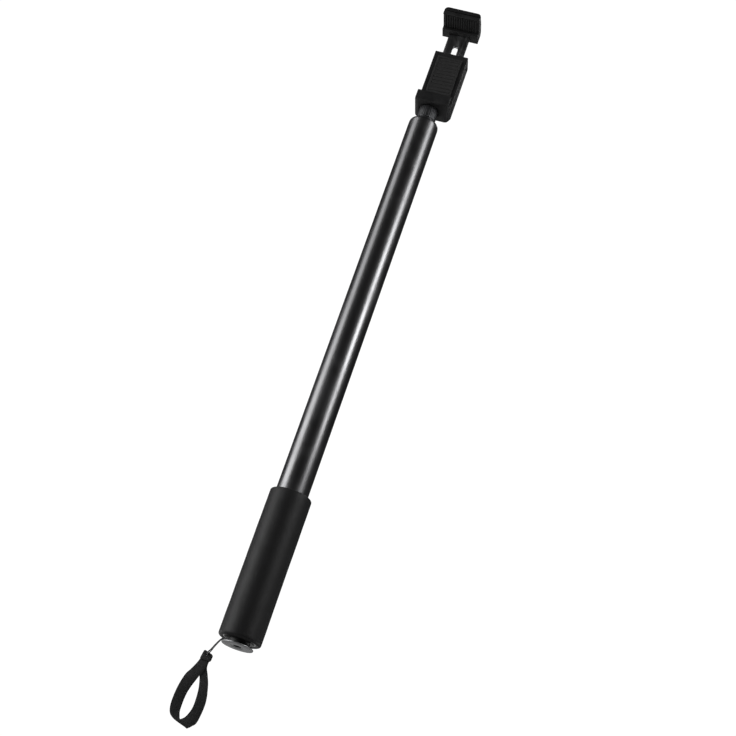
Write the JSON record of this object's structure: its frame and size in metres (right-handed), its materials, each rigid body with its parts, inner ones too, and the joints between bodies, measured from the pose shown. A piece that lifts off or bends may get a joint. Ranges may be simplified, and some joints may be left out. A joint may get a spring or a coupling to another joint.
{
  "type": "selfie stick",
  "caption": "Telescopic selfie stick with nested black tubes, a foam grip, a metal end cap with tripod thread, a sliding phone clamp on a locking wheel and a wrist strap.",
  "frame": {"origin": "on the stick's axis, at the middle of the foam grip where a hand holds it", "axes": "+Z along the closed stick from the grip to the phone clamp, -Y towards the phone's side of the clamp, -X towards the wrist strap"},
  "size_m": [0.0478, 0.0427, 0.6277],
  "materials": {
    "black_anodised": "glossy black anodised tube",
    "grey_metal": "turned and satin grey metal",
    "zinc_steel": "zinc-plated steel",
    "charcoal_foam": "matte closed-cell foam rubber",
    "black_plastic": "fine matte moulded black plastic",
    "grey_acetal": "plain grey acetal",
    "charcoal_metal": "charcoal anodised, fluted",
    "black_rubber": "matte ribbed rubber",
    "black_webbing": "woven black webbing",
    "charcoal_cord": "braided charcoal cord"
  },
  "bodies": {
    "grip": {"tube_1": "black_anodised", "foam_grip": "charcoal_foam", "end_cap": "grey_metal", "thread_insert": "zinc_steel", "end_plug": "black_plastic", "guide_bush_1": "grey_acetal", "strap_cord": "charcoal_cord"},
    "lock_2": {"lock_ring_2": "grey_acetal"},
    "stage_2": {"tube_2": "black_anodised", "lock_spindle_2": "black_plastic", "guide_bush_2": "grey_acetal"},
    "lock_3": {"lock_ring_3": "grey_acetal"},
    "stage_3": {"tube_3": "black_anodised", "lock_spindle_3": "black_plastic", "guide_bush_3": "grey_acetal"},
    "lock_4": {"lock_ring_4": "grey_acetal"},
    "stage_4": {"tube_4": "black_anodised", "lock_spindle_4": "black_plastic", "guide_bush_4": "grey_acetal"},
    "lock_5": {"lock_ring_5": "grey_acetal"},
    "stage_5": {"tube_5": "black_anodised", "lock_spindle_5": "black_plastic", "mount_screw": "zinc_steel", "head_collar": "charcoal_metal"},
    "wheel": {"locking_wheel": "charcoal_metal"},
    "clamp": {"clamp_body": "black_plastic", "clamp_thread_insert": "zinc_steel", "rear_cover": "black_plastic", "cover_screw_1": "zinc_steel", "cover_screw_2": "zinc_steel", "cover_screw_3": "zinc_steel", "cover_screw_4": "zinc_steel", "lower_pad": "black_rubber", "back_pad": "black_rubber", "square_nut": "zinc_steel", "pressure_washer": "zinc_steel"},
    "jaw": {"slide_plate": "grey_metal", "upper_jaw": "black_plastic", "upper_pad": "black_rubber", "jaw_screw_left": "zinc_steel", "jaw_screw_right": "zinc_steel"},
    "knob": {"clamp_knob": "black_plastic", "knob_screw": "zinc_steel"},
    "strap": {"strap_keeper": "black_webbing", "strap_loop": "black_webbing"}
  },
  "joints": [
    {"name": "slide_2", "type": "slide", "parent": "grip", "child": "lock_2", "axis": [0, 0, 1], "range_m": [0, 0.359]},
    {"name": "twist_2", "type": "hinge", "parent": "lock_2", "child": "stage_2", "pos_m": [0, 0, 0], "axis": [0, 0, 1], "range_deg": [0, 90]},
    {"name": "slide_3", "type": "slide", "parent": "stage_2", "child": "lock_3", "axis": [0, 0, 1], "range_m": [0, 0.318]},
    {"name": "twist_3", "type": "hinge", "parent": "lock_3", "child": "stage_3", "pos_m": [0, 0, 0], "axis": [0, 0, 1], "range_deg": [0, 90]},
    {"name": "slide_4", "type": "slide", "parent": "stage_3", "child": "lock_4", "axis": [0, 0, 1], "range_m": [0, 0.276]},
    {"name": "twist_4", "type": "hinge", "parent": "lock_4", "child": "stage_4", "pos_m": [0, 0, 0], "axis": [0, 0, 1], "range_deg": [0, 90]},
    {"name": "slide_5", "type": "slide", "parent": "stage_4", "child": "lock_5", "axis": [0, 0, 1], "range_m": [0, 0.235]},
    {"name": "twist_5", "type": "hinge", "parent": "lock_5", "child": "stage_5", "pos_m": [0, 0, 0], "axis": [0, 0, 1], "range_deg": [0, 90]},
    {"name": "wheel_turn", "type": "hinge", "parent": "stage_5", "child": "wheel", "pos_m": [0, 0, 0.4004], "axis": [0, 0, 1], "continuous": true},
    {"name": "clamp_swivel", "type": "hinge", "parent": "stage_5", "child": "clamp", "pos_m": [0, 0, 0.40465], "axis": [0, 0, 1], "continuous": true},
    {"name": "jaw_slide", "type": "slide", "parent": "clamp", "child": "jaw", "axis": [0, 0, 1], "range_m": [-0.022, 0.012]},
    {"name": "knob_turn", "type": "hinge", "parent": "clamp", "child": "knob", "pos_m": [0.002, 0.02, 0.45465], "axis": [0, 1, 0], "continuous": true},
    {"name": "strap_swing", "type": "hinge", "parent": "grip", "child": "strap", "pos_m": [-0.0179, 0, -0.07225], "axis": [0, 1, 0], "range_deg": [-25, 25]}
  ]
}
